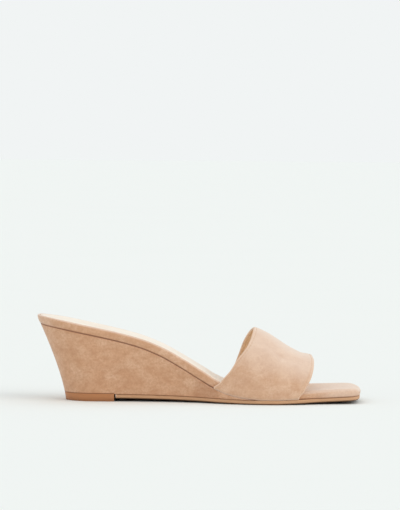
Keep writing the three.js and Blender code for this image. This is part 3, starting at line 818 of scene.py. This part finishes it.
# Outsole
# A sheet of tan sole leather 3 mm thick, cemented under the whole front of the shoe as far back as the lift. Its edge
# is trimmed, stained and rubbed round at the bottom, and its underside is sanded. Painted shade darkens the underside
# and the foot of the edge.
sole_inset = 0.6
sole_top = sole_thickness + gap - glue_line
# The sheet's edge from the floor up, as (inset, height)
sole_edge = ((3.2, 0.0), (2.0, 0.08), (1.1, 0.25), (0.45, 0.5), (0.12, 0.78), (0.0, 1.05), (0.0, sole_top - 0.3),
             (0.08, sole_top - 0.1), (0.3, sole_top))


def cut_sheet(tree):
    """The coordinates, the normal, how far a face looks down, and fine level streaks along a cut edge."""
    place = add(tree, "ShaderNodeTexCoord").outputs["Object"]
    facing = add(tree, "ShaderNodeSeparateXYZ", {0: add(tree, "ShaderNodeNewGeometry").outputs["Normal"]})
    below = add(tree, "ShaderNodeMapRange", {"Value": facing.outputs["Z"], "From Min": -0.6, "From Max": -0.95})
    streaks = add(tree, "ShaderNodeMapping", {"Vector": place, "Scale": (120.0, 120.0, 2600.0)})
    layers = add(tree, "ShaderNodeTexNoise", {"Vector": streaks.outputs[0], "Scale": 1.0, "Detail": 2.0})
    return place, facing, below, layers


def sole_leather(name, edge_colour, base, deep, painted_shade):
    """Vegetable tanned sole leather. Its edge shows the fibres in streaks and its underside has a sanded grain.
    Painted shade darkens the underside and the foot of the edge, within 1.3 mm of the underside."""
    material, tree = blank_material(name)
    place, facing, below, layers = cut_sheet(tree)
    clouds = add(tree, "ShaderNodeTexNoise", {"Vector": place, "Scale": 1 / 0.01, "Detail": 4.0})
    grain = add(tree, "ShaderNodeTexNoise", {"Vector": place, "Scale": 1 / 0.0005, "Detail": 3.0})
    amount = add(tree, "ShaderNodeMapRange", {"Value": clouds.outputs[0], "From Min": 0.42, "From Max": 0.7})
    side = add(tree, "ShaderNodeMix", {0: layers.outputs[0], 6: colour(edge_colour), 7: colour(deep)},
               data_type="RGBA")
    under = add(tree, "ShaderNodeMix", {0: amount.outputs[0], 6: colour(base), 7: colour(deep)}, data_type="RGBA")
    body = add(tree, "ShaderNodeMix", {0: below.outputs[0], 6: side.outputs[2], 7: under.outputs[2]},
               data_type="RGBA")
    level = add(tree, "ShaderNodeAttribute", attribute_name="above_underside").outputs["Fac"]
    # Painted shade near the floor, on the underside and the foot of the edge
    shade_mask = add(tree, "ShaderNodeMapRange", {"Value": level, "From Min": 1.3, "From Max": 0.6, "To Max": 0.85})
    body = add(tree, "ShaderNodeMix", {0: shade_mask.outputs[0], 6: body.outputs[2], 7: colour(painted_shade)}, data_type="RGBA")
    relief = add(tree, "ShaderNodeMath", {0: layers.outputs[0], 1: 0.5, 2: grain.outputs[0]},
                 operation="MULTIPLY_ADD")
    end_material(tree, relief.outputs[0], 0.4, 0.0002, {"Base Color": body.outputs[2], "Roughness": 0.66,
                                                        "Specular IOR Level": 0.35})
    return material


def cut_station(cut, z):
    """The station whose flank comes to x = cut at a height."""
    lean = seam_lean + back_rake * (1 - min(max(z / heel_height, 0.0), 1.0) ** back_curve)
    return (cut - lean) / (1 - lean / rake_reach), 1.0, 0.0


outsole_rear = lift_front + sole_gap
outsole_rear_level = 4.0  # the height at which the sheet's rear corners are found
rear_station = cut_station(outsole_rear, outsole_rear_level)
outsole_stations = [rear_station] + [s for s in footbed_stations if s[0] > rear_station[0] + 0.5]
outsole_rings = []
for into, height in sole_edge:
    sides = ring(outsole_stations,
                 lambda station, side: flank_at(station, side, lambda x: sole_underside(x) + height))
    sides = inset(sides, sole_inset + into)
    for points in sides:
        points[0].x = outsole_rear
        for point in points:
            point.z = sole_underside(point.x) + height
    outsole_rings.append(sides)
outsole = loft("thin_outsole", outsole_rings, 16, lambda x, y: sole_underside(x),
               lambda x, y: sole_underside(x) + sole_top, sharp=50.0)
write_attribute(outsole, "above_underside", lambda x, y, z: z - sole_underside(x))
outsole.data.materials.append(sole_leather("tanned_sole_leather", "#dbb08b", "#d0a37c", "#c4956e", "#5c3b27"))
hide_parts("outsole")
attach(outsole, "root")


# Heel lift
# A block of hard orange brown rubber 5.5 mm thick, nailed and glued under the wedge. Its front is cut straight.


def moulded_rubber(name, edge_colour, deep, painted_shade):
    """Hard sheet rubber with a satin skin, cut with a blade. Its side has faint level marks. Painted shade darkens it
    near the floor and on its front, in the slot by the outsole, where its shine is taken away too."""
    material, tree = blank_material(name)
    place, facing, below, layers = cut_sheet(tree)
    body = add(tree, "ShaderNodeMix", {0: layers.outputs[0], 6: colour(edge_colour), 7: colour(deep)},
               data_type="RGBA")
    level = add(tree, "ShaderNodeSeparateXYZ", {0: place}).outputs["Z"]
    # Painted shade near the floor and on the front, in the slot by the outsole
    low = add(tree, "ShaderNodeMapRange", {"Value": level, "From Min": 0.0035, "From Max": 0.0, "To Max": 0.5})
    front = add(tree, "ShaderNodeMapRange", {"Value": facing.outputs["X"], "From Min": 0.6, "From Max": 0.9})
    shade_mask = add(tree, "ShaderNodeMath", {0: low.outputs[0], 1: front.outputs[0]}, operation="MAXIMUM")
    body = add(tree, "ShaderNodeMix", {0: shade_mask.outputs[0], 6: body.outputs[2], 7: colour(painted_shade)}, data_type="RGBA")
    shine = add(tree, "ShaderNodeMapRange", {"Value": front.outputs[0], "To Min": 0.4, "To Max": 0.0})
    pebbles = add(tree, "ShaderNodeTexVoronoi", {"Vector": place, "Scale": 1 / 0.0012}, feature="SMOOTH_F1")
    relief = add(tree, "ShaderNodeMath", {0: pebbles.outputs["Distance"], 1: below.outputs[0]}, operation="MULTIPLY")
    relief = add(tree, "ShaderNodeMath", {0: layers.outputs[0], 1: 0.25, 2: relief.outputs[0]},
                 operation="MULTIPLY_ADD")
    end_material(tree, relief.outputs[0], 0.5, 0.0003, {"Base Color": body.outputs[2], "Roughness": 0.5,
                                                        "Specular IOR Level": shine.outputs[0]})
    return material


lift_stations = outline_stations(heel=40)
lift_rings = []
lift_top = lift_thickness + gap - glue_line
# The block's side from the floor up, as (inset, height)
lift_side = ((0.3, 0.0), (0.08, 0.1), (0.0, 0.3), (0.0, 2.2), (0.0, 4.1), (0.0, lift_top - 0.2), (0.2, lift_top))
for into, z in lift_side:
    stations = [s for s in lift_stations if flank_point(s, 1, z).x < lift_front - 0.5] + [cut_station(lift_front, z)]
    sides = inset(ring(stations, lambda station, side: flank_point(station, side, z)), into)
    for points in sides:
        points[-1].x = lift_front
    lift_rings.append(sides)
lift = loft("rubber_lift", lift_rings, 10, lambda x, y: 0.0, lambda x, y: lift_top, sharp=35.0)
lift.data.materials.append(moulded_rubber("lift_rubber", "#c4885b", "#b1774d", "#6e4429"))
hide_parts("heel_lift")
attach(lift, "root")


# Studio
# A white floor that runs on without a wall, a bright overcast room, a large soft lamp from the front right, a weaker
# one from the front left, and a wide one from above.
floor_mesh = bpy.data.meshes.new("studio_floor")
floor_reach = 80.0  # metres each way
floor_mesh.from_pydata([(x * floor_reach, y * floor_reach, 0) for x, y in ((-1, -1), (1, -1), (1, 1), (-1, 1))], [],
                       [(0, 1, 2, 3)])
studio_floor = bpy.data.objects.new("studio_floor", floor_mesh)
bpy.context.collection.objects.link(studio_floor)
paint, paint_tree = blank_material("white_paper")
paper = add(paint_tree, "ShaderNodeTexNoise", {"Vector": add(paint_tree, "ShaderNodeTexCoord").outputs["Object"],
                                               "Scale": 1 / 0.4, "Detail": 2.0})
tone = add(paint_tree, "ShaderNodeMix", {0: paper.outputs[0], 6: colour("#eff4f3"), 7: colour("#f0f5f4")},
           data_type="RGBA")
matt = add(paint_tree, "ShaderNodeBsdfDiffuse", {"Color": tone.outputs[2]})
add(paint_tree, "ShaderNodeOutputMaterial", {"Surface": matt.outputs[0]})
floor_mesh.materials.append(paint)

room = bpy.data.worlds.new("studio_room")
bpy.context.scene.world = room
room.use_nodes = True
room.node_tree.nodes.clear()
seen = add(room.node_tree, "ShaderNodeBackground", {"Color": colour("#f1f4f4"), "Strength": 1.0})
ambient = add(room.node_tree, "ShaderNodeBackground", {"Color": colour("#fdfeff"), "Strength": 0.66})
ray = add(room.node_tree, "ShaderNodeLightPath").outputs["Is Camera Ray"]
either = add(room.node_tree, "ShaderNodeMixShader", {0: ray, 1: ambient.outputs[0], 2: seen.outputs[0]})
add(room.node_tree, "ShaderNodeOutputWorld", {"Surface": either.outputs[0]})


def lamp(name, energy, spread, towards, tint):
    """A far lamp with a wide spread in degrees. towards is the direction in which its light goes."""
    data = bpy.data.lights.new(name, "SUN")
    data.energy = energy
    data.angle = math.radians(spread)
    data.color = colour(tint)[:3]
    light = bpy.data.objects.new(name, data)
    light.rotation_euler = Vector(towards).to_track_quat("-Z", "Y").to_euler()
    bpy.context.collection.objects.link(light)


lamp("right_lamp", 0.85, 50, (-1.0, 0.62, -0.8), "#fffaf2")
lamp("left_lamp", 0.4, 60, (0.9, 0.6, -0.7), "#fff6ec")
lamp("top_lamp", 0.47, 80, (-0.15, -0.3, -1.0), "#ffffff")

# The camera looks almost level, from the height of a low table, 2.2 m off the outer side of the shoe, and leans by
# under half a degree
photo_scale = 2970.0  # pixels of the photograph for a length seen from the same length away
photo_height = 510
below_level = 101.0  # pixels from the level line through the camera down to the picture's middle
camera_lean = -0.45
camera_data = bpy.data.cameras.new("photo_camera")
camera_data.sensor_width = 36
camera_data.lens = photo_scale * camera_data.sensor_width / photo_height
camera = bpy.data.objects.new("photo_camera", camera_data)
camera.location = (-0.0005, -2.2, 0.1826)
camera.rotation_euler = (math.radians(90) - math.atan(below_level / photo_scale), math.radians(camera_lean), 0)
bpy.context.collection.objects.link(camera)
bpy.context.scene.camera = camera
bpy.context.scene.view_settings.view_transform = "Standard"
